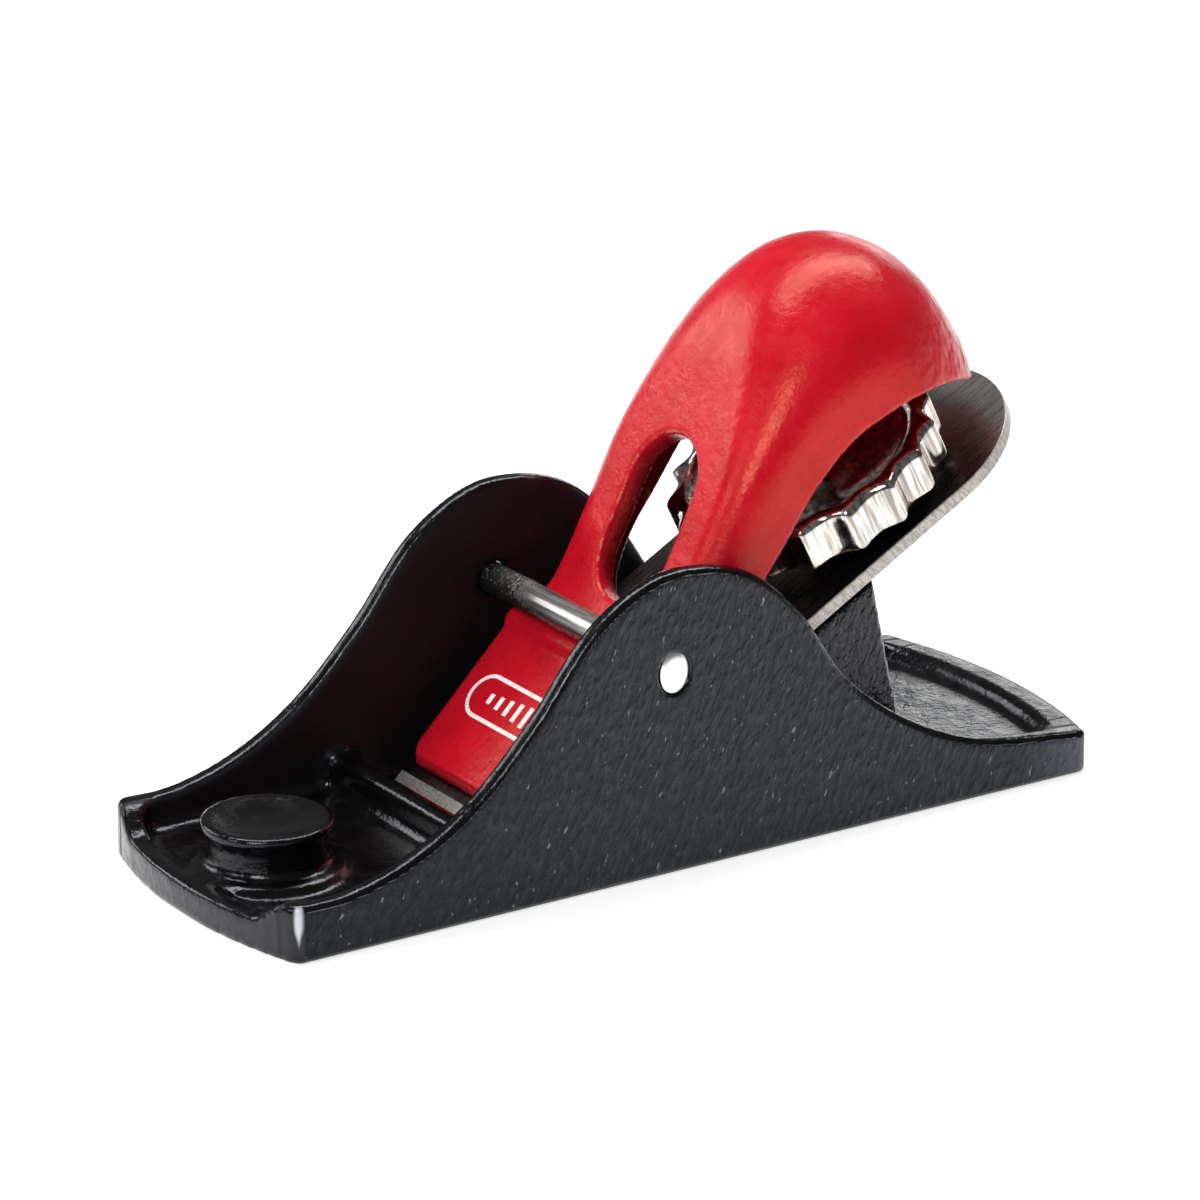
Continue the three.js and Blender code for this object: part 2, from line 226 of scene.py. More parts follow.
def polygon_distance(u, v, points):
    """Signed distance in a plane to a closed outline."""
    pts = np.array(points, float)
    best = np.full(u.shape, 1e9)
    inside = np.zeros(u.shape, bool)
    for (ax, ay), (bx, by) in zip(pts, np.roll(pts, -1, axis=0)):
        ex, ey = bx - ax, by - ay
        wx, wy = u - ax, v - ay
        share = np.clip((wx * ex + wy * ey) / (ex * ex + ey * ey), 0, 1)
        best = np.minimum(best, (wx - ex * share) ** 2 + (wy - ey * share) ** 2)
        crosses = ((ay > v) != (by > v)) & (wx < ex * wy / (ey if ey else 1e-12))
        inside ^= crosses
    return np.where(inside, -1, 1) * np.sqrt(best)


def smoothstep(value, low, high):
    t = np.clip((value - low) / (high - low), 0, 1)
    return t * t * (3 - 2 * t)


def bed_height(x):
    """Height of the cutter's underside."""
    return EDGE_Z + (x - EDGE_X) * math.tan(BED_ANGLE)


def side_field(x, z, points):
    """Distance to an outline in side view, worked out once for each (x, z) column."""
    if x.ndim == 3:
        return polygon_distance(x[:, :1, :], z[:, :1, :], points)
    return polygon_distance(x, z, points)


def softened(table, step, spread):
    """A table over x and z, blurred, which takes the creases out of a distance deep inside a shape."""
    reach = int(3 * spread / step)
    taps = np.exp(-0.5 * (np.arange(-reach, reach + 1) * step / spread) ** 2)
    taps /= taps.sum()
    for axis in (0, 2):
        padded = np.pad(table, [(reach, reach) if a == axis else (0, 0) for a in range(3)], "edge")
        table = sum(
            tap * np.take(padded, range(i, i + table.shape[axis]), axis) for i, tap in enumerate(taps)
        )
    return table


# ---- Fields of the two castings ----

BULGE_RADIUS = (BODY_WIDTH**2 / 4 + END_BULGE**2) / (2 * END_BULGE)
BULGE_CENTRE = BODY_LENGTH / 2 - BULGE_RADIUS
CREST = smooth_curve(CHEEK_CREST, 6)


def body_plan(x, y):
    """Plan of the body: straight sides, shallow arcs at toe and heel, small corner radii."""
    ends = np.maximum(
        np.hypot(x + BULGE_CENTRE, y) - BULGE_RADIUS,
        np.hypot(x - BULGE_CENTRE, y) - BULGE_RADIUS,
    )
    return round_cut(np.abs(y) - BODY_WIDTH / 2, ends, CORNER_RADIUS)


def body_pocket(x, y):
    """Plan of the space between the walls, whose heel end has a broader rim than its toe end."""
    toe = np.hypot(x + BULGE_CENTRE, y) - BULGE_RADIUS + WALL
    heel = np.hypot(x - BULGE_CENTRE, y) - BULGE_RADIUS + HEEL_WALL
    return round_cut(np.abs(y) - BODY_WIDTH / 2 + WALL, np.maximum(toe, heel), POCKET_CORNER)


def wall_height(x, y):
    """Height of the rim: low across the toe and heel, and the cheeks' crest along both sides."""
    crest = np.interp(x, CREST[:, 0], CREST[:, 1])
    rim = np.where(x < 0, TOE_RIM, HEEL_RIM)
    return rim + (crest - rim) * smoothstep(np.abs(y), SWEEP_START, BODY_WIDTH / 2 - SWEEP_MARGIN)


def crest_slope(x):
    """How much longer the crest is than its run, which keeps a wall's rounded top as thick on a slope."""
    slope = np.interp(x + 1, CREST[:, 0], CREST[:, 1]) - np.interp(x - 1, CREST[:, 0], CREST[:, 1])
    return np.sqrt(1 + (slope / 2) ** 2)


def walls_field(x, y, z):
    """Rim and cheek walls, rounded on top."""
    band = np.maximum(body_plan(x, y), -body_pocket(x, y))
    return round_cut(band, (z - wall_height(x, y)) / crest_slope(x), RIM_RADIUS)


def rib_field(x, z):
    """Cross rib ahead of the mouth."""
    middle, half = (RIB_FRONT + MOUTH_FRONT) / 2, (MOUTH_FRONT - RIB_FRONT) / 2
    return round_cut(np.abs(x - middle) - half, z - RIB_TOP, RIB_EDGE)


def bed_field(x, y, z):
    """Ramp under the cutter, hollow between its two webs."""
    foot_front = MOUTH_FRONT + 2
    ramp = side_field(x, z, [
        (foot_front, -4), (BED_FOOT_X + 0.8, -4), (BED_FOOT_X, 2),
        (BED_TOP_X, bed_height(BED_TOP_X) - BED_GAP), (foot_front, bed_height(foot_front) - BED_GAP),
    ])
    hollow = side_field(x, z, [
        (BED_CAVITY_X, FLOOR), (BED_FOOT_X - BED_WEB - 1, FLOOR), (BED_TOP_X - BED_WEB, 50),
        (BED_CAVITY_X, 50),
    ])
    ramp = round_cut(ramp, np.abs(y) - BED_HALF, BED_EDGE)
    hollow = round_cut(hollow, np.abs(y) - (BED_HALF - BED_WEB), CAVITY_CORNER)
    return np.maximum(ramp, -hollow)


def rest_field(x, y, z):
    """Finger rest: a dished head on a stem that steps out to a low tier."""
    radial = np.hypot(x - REST_X, y)
    tier = round_cut(radial - (REST_RADIUS + REST_TIER_STEP), z - (FLOOR + REST_TIER_HEIGHT), 1.2)
    stem = np.maximum(radial - (REST_RADIUS - REST_OVERHANG), z - (REST_TOP - 1))
    head = np.abs(z - (REST_TOP - REST_HEAD_HALF)) - REST_HEAD_HALF
    head = round_cut(radial - REST_RADIUS, head, 0.55)
    dish = np.hypot(radial, z - (REST_TOP + DISH_RADIUS - DISH_DEPTH)) - DISH_RADIUS
    rest = round_union(round_union(tier, stem, 1.5), head, 0.6)
    return round_cut(rest, -dish, 0.35)


def mouth_field(x, y, z):
    """Slot through the sole for the cutting edge, with its rear side along the bed."""
    behind = EDGE_X + 12
    side = side_field(x, z, [
        (MOUTH_FRONT, -6), (EDGE_X - 0.3, -6), (EDGE_X + 0.4, bed_height(EDGE_X) - BED_GAP),
        (behind, bed_height(behind) - BED_GAP), (behind, 15), (MOUTH_FRONT, 15),
    ])
    return np.maximum(side, np.abs(y) - MOUTH_HALF)


def pin_bore_field(x, y, z):
    """Bore for the pin, flared up and down at its ends for the riveted heads."""
    head = smoothstep(np.abs(y), BODY_WIDTH / 2 - PIN_HEAD_DEPTH, BODY_WIDTH / 2)
    flare = 1 + (PIN_HEAD_STRETCH - 1) * head
    return np.hypot(x - PIN_X, (z - PIN_Z) / flare) - (PIN_RADIUS + CLEARANCE)


def body_field(x, y, z):
    floor = FLOOR + (HEEL_FLOOR - FLOOR) * smoothstep(x, 28, 42)
    metal = round_union(z - floor, walls_field(x, y, z), FLOOR_FILLET)
    metal = round_union(metal, rib_field(x, z), RIB_FILLET)
    metal = round_union(metal, bed_field(x, y, z), BED_FILLET)
    metal = round_union(metal, rest_field(x, y, z), 1.2)
    metal = np.maximum(metal, -mouth_field(x, y, z))
    metal = round_cut(metal, -pin_bore_field(x, y, z), 0.35)
    return round_cut(np.maximum(metal, body_plan(x, y)), -z, SOLE_EDGE)


CAP_OUTLINE = np.vstack([
    CAP_FRONT, smooth_curve(CAP_TOP, 8), [(CAP_TOP[-1][0] + 0.6, 40), (CAP_TOP[-1][0], -60), (-40, -60)],
])


def domed(x, z):
    """0 at the neck, 1 where the hood is a full dome."""
    return 1 - (1 - smoothstep(z, 48, 82)) * (1 - smoothstep(x, 22, 44))


def cap_radius(x, z):
    """How round the cap's shoulders are: crisp on the front plate, soft at the neck, a full dome behind."""
    neck = 1.3 + 4.2 * smoothstep(x, -6, 1)
    return neck + (DOME_HALF - 0.2 - neck) * domed(x, z)


def cap_half(x, z):
    return NECK_HALF + (DOME_HALF - NECK_HALF) * domed(x, z)


def slot_field(x, y, z):
    """Round-ended slot that runs straight through the neck."""
    dx, dz = x - SLOT_AT[0], z - SLOT_AT[1]
    along = dx * math.cos(NECK_ANGLE) + dz * math.sin(NECK_ANGLE)
    inward = dx * math.sin(NECK_ANGLE) - dz * math.cos(NECK_ANGLE)
    straight = (SLOT_LENGTH - SLOT_WIDTH) / 2
    stadium = np.hypot(np.maximum(np.abs(along) - straight, 0), y) - SLOT_WIDTH / 2
    return np.maximum(stadium, np.abs(inward - 1) - 8)


def cap_skin(x, y, z, inset):
    """The cap's outer skin, or its inner one when inset by the wall."""
    side = side_field(x, z, CAP_OUTLINE)
    if x.ndim == 3:
        soft = softened(side, x[1, 0, 0] - x[0, 0, 0], 2.2)
        side = side + (soft - side) * smoothstep(-side, 0.5, 6)
    side = side + inset
    radius = np.maximum(cap_radius(x, z) - inset, 0.8)
    return round_cut(side + np.zeros_like(y), np.abs(y) - (cap_half(x, z) - inset), radius)


def arch_field(x, z):
    """Everything under the hood's arched edge."""
    curve = smooth_curve(ARCH, 4)
    return side_field(x, z, np.vstack([curve, [(11, -40), (90, -40), (90, ARCH[0][1])]]))


def boss_fields(x, y, z):
    """Threaded boss under the dome, and the hole up its middle for the stud."""
    dx, dz = x - WHEEL_AT[0], z - WHEEL_AT[2]
    along = -dx * math.sin(WHEEL_ANGLE) + dz * math.cos(WHEEL_ANGLE)
    across = dx * math.cos(WHEEL_ANGLE) + dz * math.sin(WHEEL_ANGLE)
    radial = np.hypot(across, y)
    boss = round_cut(radial - BOSS_RADIUS, (WHEEL_HEIGHT + BOSS_GAP) - along, 0.6)
    hole = np.maximum(radial - (STUD_RADIUS + CLEARANCE), along - BOSS_TOP)
    return boss, hole


def under_cap_field(x, z):
    """Everything below the cap's underside, which lies on the cutter and lifts away behind the pin."""
    top = bed_height(x) + CUTTER_THICKNESS / math.cos(BED_ANGLE)
    lift = SEAT_GAP + np.maximum(x - PIN_X, 0) * ROCK_RELIEF
    return (top + lift - z) * math.cos(BED_ANGLE)


def cap_field(x, y, z):
    outer = cap_skin(x, y, z, 0)
    inner = cap_skin(x, y, z, CAP_WALL)
    shell = np.maximum(outer, -np.maximum(inner, HOLLOW_START - x))
    boss, hole = boss_fields(x, y, z)
    shell = np.maximum(round_union(shell, np.maximum(boss, outer + 1), BOSS_FILLET), outer)
    shell = np.maximum(shell, -hole)
    shell = round_cut(shell, -slot_field(x, y, z), SLOT_EDGE)
    shell = round_cut(shell, -arch_field(x, z), ARCH_EDGE)
    shell = round_cut(shell, under_cap_field(x, z), SEAT_EDGE)
    front = CAP_FRONT[1][0] + FRONT_CORNER
    corner = np.hypot(
        np.maximum(front - x, 0), np.maximum(np.abs(y) - (NECK_HALF - FRONT_CORNER), 0)
    ) - FRONT_CORNER
    return np.where(x < front, np.maximum(shell, corner), shell)


# ---- Meshes ----


def new_object(name, data):
    made = bpy.data.objects.new(name, data)
    bpy.context.collection.objects.link(made)
    return made


def bmesh_object(name, bm):
    mesh = bpy.data.meshes.new(name)
    bmesh.ops.recalc_face_normals(bm, faces=bm.faces)
    bm.to_mesh(mesh)
    bm.free()
    return new_object(name, mesh)


def shade_smooth(piece, angle=180):
    """Smooth shading across every edge that turns by less than this many degrees."""
    piece.data.polygons.foreach_set("use_smooth", [True] * len(piece.data.polygons))
    if angle < 180:
        piece.data.set_sharp_from_angle(angle=math.radians(angle))


def relaxed(verts, faces, rounds=4):
    """Evens out a mesh without shrinking it, by small moves to and from each vertex's neighbours."""
    pairs = np.vstack([faces[:, [i, (i + 1) % 4]] for i in range(4)])
    valence = np.bincount(pairs[:, 0], minlength=len(verts))[:, None]
    for share in (0.5, -0.52) * rounds:
        total = np.stack([
            np.bincount(pairs[:, 0], verts[pairs[:, 1], axis], len(verts)) for axis in range(3)
        ], axis=1)
        verts = verts + share * (total / valence - verts)
    return verts


def cast_mesh(name, field, low, high, step):
    """Meshes where a distance field crosses zero, one vertex for each cell that it passes through."""
    axes = [np.arange(a - 2 * step, b + 3 * step, step) for a, b in zip(low, high)]
    grid = np.meshgrid(*axes, indexing="ij")
    values = field(*grid) + np.zeros_like(grid[0])
    solid = values < 0
    cells = tuple(n - 1 for n in values.shape)
    total = np.zeros(cells + (3,))
    count = np.zeros(cells)
    offsets = [(i, j, k) for i in (0, 1) for j in (0, 1) for k in (0, 1)]

    def corner(array, offset):
        return array[tuple(slice(o, o + n) for o, n in zip(offset, cells))]

    for start in offsets:
        for axis in range(3):
            if start[axis]:
                continue
            end = tuple(o + (a == axis) for a, o in enumerate(start))
            crosses = corner(solid, start) != corner(solid, end)
            va, vb = corner(values, start)[crosses], corner(values, end)[crosses]
            point = np.tile(np.array(start, float), (len(va), 1))
            point[:, axis] += va / (va - vb)
            total[crosses] += point
            count[crosses] += 1
    active = count > 0
    index = np.full(cells, -1)
    index[active] = np.arange(active.sum())
    places = np.argwhere(active) + total[active] / count[active][:, None]
    verts = np.array([a[0] for a in axes]) + places * step

    quads = []
    for axis in range(3):
        u, v = (axis + 1) % 3, (axis + 2) % 3
        ahead = [slice(None)] * 3
        ahead[axis] = slice(1, None)
        behind = [slice(None)] * 3
        behind[axis] = slice(None, -1)
        near, far = solid[tuple(behind)], solid[tuple(ahead)]
        for hits, way in ((near & ~far, 1), (~near & far, -1)):
            at = np.argwhere(hits)
            ring = []
            for du, dv in ((0, 0), (1, 0), (1, 1), (0, 1)):
                cell = at.copy()
                cell[:, u] -= 1 - du
                cell[:, v] -= 1 - dv
                ring.append(index[tuple(cell.T)])
            quads.append(np.stack(ring, axis=1)[:, ::way])
    faces = np.vstack(quads)
    verts = relaxed(verts, faces)
    mesh = bpy.data.meshes.new(name)
    mesh.from_pydata((verts * MM).tolist(), [], faces.tolist())
    mesh.validate()
    piece = new_object(name, mesh)
    shade_smooth(piece)
    return piece


def set_values(piece, name, values, domain="POINT"):
    """Stores one number for each vertex, or for each face, for a material to read."""
    layer = piece.data.attributes.new(name, "FLOAT", domain)
    layer.data.foreach_set("value", np.asarray(values, np.float32))


def vertices_mm(piece):
    flat = np.empty(len(piece.data.vertices) * 3)
    piece.data.vertices.foreach_get("co", flat)
    return flat.reshape(-1, 3) / MM


def join_rings(bm, rings, ends=True):
    """Skin over rings of equal length, in millimetres: its two ends are filled in, or else the last ring
    is joined to the first."""
    loops = [[bm.verts.new(Vector(p) * MM) for p in ring] for ring in rings]
    for lower, upper in zip(loops, loops[1:] if ends else loops[1:] + loops[:1]):
        for i in range(len(lower)):
            j = (i + 1) % len(lower)
            bm.faces.new((lower[i], lower[j], upper[j], upper[i]))
    if ends:
        bm.faces.new(loops[0][::-1])
        bm.faces.new(loops[-1])


def ring_mesh(name, rings, ends=True):
    bm = bmesh.new()
    join_rings(bm, rings, ends)
    return bmesh_object(name, bm)


def lathe_rings(profile, segments):
    """Rings of a turned shape from (radius, height) points, about the Z axis."""
    turns = [2 * math.pi * i / segments for i in range(segments)]
    return [[(r * math.cos(t), r * math.sin(t), z) for t in turns] for r, z in profile]


def place(piece, turn, at):
    """Turns a piece's mesh and moves it to a place in millimetres; its object stays at the origin."""
    matrix = Euler(turn).to_matrix().to_4x4()
    matrix.translation = Vector(at) * MM
    piece.data.transform(matrix)


# ---- Materials ----

NOISE = "ShaderNodeTexNoise"
MAPPING = "ShaderNodeMapping"
SPLIT = "ShaderNodeSeparateXYZ"
BUMP = "ShaderNodeBump"
MARKS = "ShaderNodeAttribute"
SHADER = "ShaderNodeBsdfPrincipled"
SURFACE = "ShaderNodeOutputMaterial"

# A Map Range's inputs go by place: 0 is the value, 1 and 2 the range it is read on, 3 and 4 the range given.
RANGE = "ShaderNodeMapRange"
SMOOTH = {"interpolation_type": "SMOOTHSTEP"}

# A Math node's inputs are 0 and 1, and 2 where a third number is added.
MATH = "ShaderNodeMath"
PLUS, MINUS, TIMES = ({"operation": name} for name in ("ADD", "SUBTRACT", "MULTIPLY"))

# A Mix's inputs go by place too: 0 is the share, then 2 and 3 are numbers or 6 and 7 are colours.
MIX = "ShaderNodeMix"
COLOURS = {"data_type": "RGBA", "out": 2}


def linear(code):
    """Linear RGBA from an sRGB hex colour."""
    parts = [int(code[i:i + 2], 16) / 255 for i in (1, 3, 5)]
    return [p / 12.92 if p <= 0.04045 else ((p + 0.055) / 1.055) ** 2.4 for p in parts] + [1.0]


def per(size):
    """Pattern scale whose features are about this many millimetres across."""
    return 1 / (size * MM)


def add_node(tree, kind, inputs=None, out=0, **settings):
    """Adds a node with its settings, sets or links its inputs, and gives one of its outputs, or all."""
    node = tree.nodes.new(kind)
    for key, value in settings.items():
        setattr(node, key, value)
    for key, value in (inputs or {}).items():
        if isinstance(value, bpy.types.NodeSocket):
            tree.links.new(value, node.inputs[key])
        else:
            node.inputs[key].default_value = value
    return node.outputs if out is None else node.outputs[out]


def new_material(name, surface):
    """A material whose shader has the inputs that surface works out, given the call that adds a node
    and the piece's own coordinates."""
    material = bpy.data.materials.new(name)
    material.use_nodes = True
    material.node_tree.nodes.clear()
    add = partial(add_node, material.node_tree)
    shader = add(SHADER, surface(add, add("ShaderNodeTexCoord", out="Object")))
    add(SURFACE, {0: shader}, None)
    return material


def band(add, value, rise, fall):
    """1 between a rise and a fall, each with its start and end in millimetres, and 0 outside them."""
    up = add(RANGE, {0: value, 1: rise[0] * MM, 2: rise[1] * MM}, **SMOOTH)
    down = add(RANGE, {0: value, 1: fall[1] * MM, 2: fall[0] * MM}, **SMOOTH)
    return add(MATH, {0: up, 1: down}, **TIMES)


def black_enamel(add, coords):
    """Stoved black enamel on cast iron: glossy inside and on the rims, dulled to a satin charcoal on
    the flanks, and bare ground iron on the sole."""
    x, y, z = add(SPLIT, {0: coords}, None)
    side = add(MATH, {0: y}, operation="ABSOLUTE")
    flank = add(RANGE, {0: side, 1: (BODY_WIDTH / 2 - 0.16) * MM, 2: (BODY_WIDTH / 2 - 0.06) * MM}, **SMOOTH)
    sole = add(RANGE, {0: z, 1: 0.12 * MM, 2: 0.02 * MM}, **SMOOTH)

    # The enamel's glossy part, a little browner in patches, with a pale painted highlight on the toe's
    # corners.
    patches = add(RANGE, {0: add(NOISE, {"Vector": coords, "Scale": per(14)}), 1: 0.35, 2: 0.7}, **SMOOTH)
    gloss = add(MIX, {0: patches, 6: linear("#070607"), 7: linear("#0d0b0c")}, **COLOURS)
    corner = add(RANGE, {0: add(MARKS, out="Fac", attribute_name="corner"), 1: 0.3, 2: 0.95}, **SMOOTH)

    # The flanks' grain leans with the mould's face. It is finer on the real casting than it is here.
    leaning = add(MAPPING, {"Vector": coords, "Rotation": (0, math.radians(-20), 0)})
    leaning = add(MAPPING, {"Vector": leaning, "Scale": (1.0, 1.0, 0.45)})
    grain = add(NOISE, {"Vector": leaning, "Scale": per(0.95), "Detail": 3, "Roughness": 0.55})
    peaks = add(RANGE, {0: grain, 1: 0.45, 2: 0.75}, **SMOOTH)
    toe_fade = {1: -12 * MM, 2: -66 * MM}
    # Painted sheen makes the flanks paler towards the heel end, and painted shade darkens them towards the
    # toe.
    painted_heel_sheen = add(RANGE, {0: x, 1: 52 * MM, 2: 69 * MM, 4: 0.9}, **SMOOTH)
    toe_shade = add(RANGE, {0: x, **toe_fade, 4: 0.8}, **SMOOTH)
    # Painted glints: small pale specks over the flanks' satin.
    painted_glints = add(NOISE, {"Vector": leaning, "Scale": per(0.7)})
    painted_glints = add(RANGE, {0: painted_glints, 1: 0.69, 2: 0.76, 4: 0.5}, **SMOOTH)
    satin = add(MIX, {0: peaks, 6: linear("#0b0c10"), 7: linear("#1f2228")}, **COLOURS)
    satin = add(MIX, {0: painted_heel_sheen, 6: satin, 7: linear("#4a4e56")}, **COLOURS)
    satin = add(MIX, {0: toe_shade, 6: satin, 7: linear("#050506")}, **COLOURS)
    satin = add(MIX, {0: painted_glints, 6: satin, 7: linear("#9a9ea6")}, **COLOURS)

    # The sole is ground along its length.
    along = add(MAPPING, {"Vector": coords, "Scale": (0.05, 1.0, 1.0)})
    lines = add(NOISE, {"Vector": along, "Scale": per(0.35), "Detail": 3, "Roughness": 0.6})
    shine = add(RANGE, {0: lines, 1: 0.35, 2: 0.7}, **SMOOTH)
    iron = add(MIX, {0: shine, 6: linear("#6f6e6c"), 7: linear("#a09e9a")}, **COLOURS)

    colour = add(MIX, {0: flank, 6: gloss, 7: satin}, **COLOURS)
    # Pale painted highlight on the toe's corners, mixed over the enamel.
    colour = add(MIX, {0: corner, 6: colour, 7: linear("#c4c4cb")}, **COLOURS)
    colour = add(MIX, {0: sole, 6: colour, 7: iron}, **COLOURS)

    # Roughness: the walls' inner faces are duller than the rims and floors.
    inner = BODY_WIDTH / 2 - WALL
    inner_wall = band(add, side, (inner - 0.6, inner - 0.2), (inner + 0.2, inner + 0.5))
    cloud = add(NOISE, {"Vector": coords, "Scale": per(3.5)})
    gloss_rough = add(RANGE, {0: cloud, 1: 0.3, 2: 0.75, 3: 0.14, 4: 0.26}, **SMOOTH)
    gloss_rough = add(MIX, {0: inner_wall, 2: gloss_rough, 3: 0.55})
    satin_rough = add(RANGE, {0: grain, 1: 0.35, 2: 0.75, 3: 0.5, 4: 0.36}, **SMOOTH)
    toe_dull = add(RANGE, {0: x, **toe_fade, 4: 0.22}, **SMOOTH)
    satin_rough = add(MATH, {0: satin_rough, 1: toe_dull}, **PLUS)
    iron_rough = add(RANGE, {0: lines, 1: 0.3, 2: 0.7, 3: 0.25, 4: 0.45}, **SMOOTH)
    rough = add(MIX, {0: flank, 2: gloss_rough, 3: satin_rough})
    rough = add(MIX, {0: sole, 2: rough, 3: iron_rough})

    # Relief: the flanks and the bed's sides have the casting grain, the rest has slow dimples and pits.
    bed_side = band(add, side, (BED_HALF - 0.3, BED_HALF - 0.1), (BED_HALF + 0.1, BED_HALF + 0.3))
    behind_wheel = add(RANGE, {0: x, 1: 14 * MM, 2: 16 * MM}, **SMOOTH)
    bed_side = add(MATH, {0: bed_side, 1: behind_wheel}, **TIMES)
    raw = add(MATH, {0: flank, 1: bed_side}, operation="MAXIMUM")
    dimples = add(NOISE, {"Vector": coords, "Scale": per(5.0), "Detail": 1, "Roughness": 0.4})
    dimples = add(MATH, {0: dimples, 1: 0.7}, **TIMES)
    pits = add(NOISE, {"Vector": coords, "Scale": per(1.5), "Detail": 3, "Roughness": 0.55})
    pits = add(MATH, {0: pits, 1: 0.5}, **TIMES)
    skin = add(MATH, {0: pits, 1: dimples}, **PLUS)
    casting = add(MATH, {0: grain, 1: 3.4}, **TIMES)
    grinding = add(MATH, {0: lines, 1: 0.12}, **TIMES)
    relief = add(MIX, {0: raw, 2: skin, 3: casting})
    relief = add(MIX, {0: sole, 2: relief, 3: grinding})
    coarse = add(BUMP, {"Height": relief, "Distance": 0.2 * MM, "Strength": 1.0})
    peel = add(NOISE, {"Vector": coords, "Scale": per(0.45)})
    off_sole = add(RANGE, {0: z, 1: 0.0, 2: 0.2 * MM}, **SMOOTH)
    peel = add(MATH, {0: peel, 1: off_sole}, **TIMES)
    fine = add(BUMP, {"Height": peel, "Distance": 0.03 * MM, "Strength": 1.0, "Normal": coarse})

    return {
        "Base Color": colour, "Roughness": rough, "Metallic": sole, "Normal": fine,
        "Specular IOR Level": 0.38, "Specular Tint": linear("#eef0f8"),
    }


def red_enamel(add, coords):
    """Thick gloss enamel sprayed on a cast cap: orange peel, a lightly hammered skin by the arch, and
    pale primer where the coat has thinned on the arch and slot edges."""
    wear = add(MARKS, out="Fac", attribute_name="edge")
    near_arch = add(MARKS, out="Fac", attribute_name="arch")
    inside = add(MARKS, out="Fac", attribute_name="inside")

    cloud = add(NOISE, {"Vector": coords, "Scale": per(9), "Detail": 3})
    cloud = add(RANGE, {0: cloud, 1: 0.35, 2: 0.7}, **SMOOTH)
    coat = add(MIX, {0: cloud, 6: linear("#b80b1d"), 7: linear("#c61227")}, **COLOURS)
    # Painted shade: a darker red inside the hood.
    coat = add(MIX, {0: inside, 6: coat, 7: linear("#8a0812")}, **COLOURS)
    chips = add(NOISE, {"Vector": coords, "Scale": per(1.4), "Detail": 3, "Roughness": 0.6})
    chips = add(RANGE, {0: chips, 1: 0.4, 2: 0.58}, **SMOOTH)
    chips = add(MATH, {0: wear, 1: chips}, **TIMES)
    chips = add(RANGE, {0: chips, 1: 0.35, 2: 0.75, 4: 0.5}, **SMOOTH)
    colour = add(MIX, {0: chips, 6: coat, 7: linear("#e0b48c")}, **COLOURS)

    peel = add(NOISE, {"Vector": coords, "Scale": per(1.3)})
    hammer = add(NOISE, {"Vector": coords, "Scale": per(2.2), "Detail": 1, "Roughness": 0.4})
    hammer = add(MATH, {0: hammer, 1: near_arch}, **TIMES)
    dimples = add(NOISE, {"Vector": coords, "Scale": per(0.4), "Roughness": 0.6})
    normal = add(BUMP, {"Height": peel, "Distance": 0.08 * MM, "Strength": 1.0})
    normal = add(BUMP, {"Height": hammer, "Distance": 0.5 * MM, "Strength": 1.0, "Normal": normal})
    normal = add(BUMP, {"Height": dimples, "Distance": 0.03 * MM, "Strength": 1.0, "Normal": normal})

    rough = add(NOISE, {"Vector": coords, "Scale": per(2.5)})
    rough = add(RANGE, {0: rough, 1: 0.3, 2: 0.7, 3: 0.24, 4: 0.34}, **SMOOTH)
    return {
        "Base Color": colour, "Roughness": rough, "Normal": normal, "IOR": 1.5,
        "Specular Tint": linear("#ffb08c"),
    }


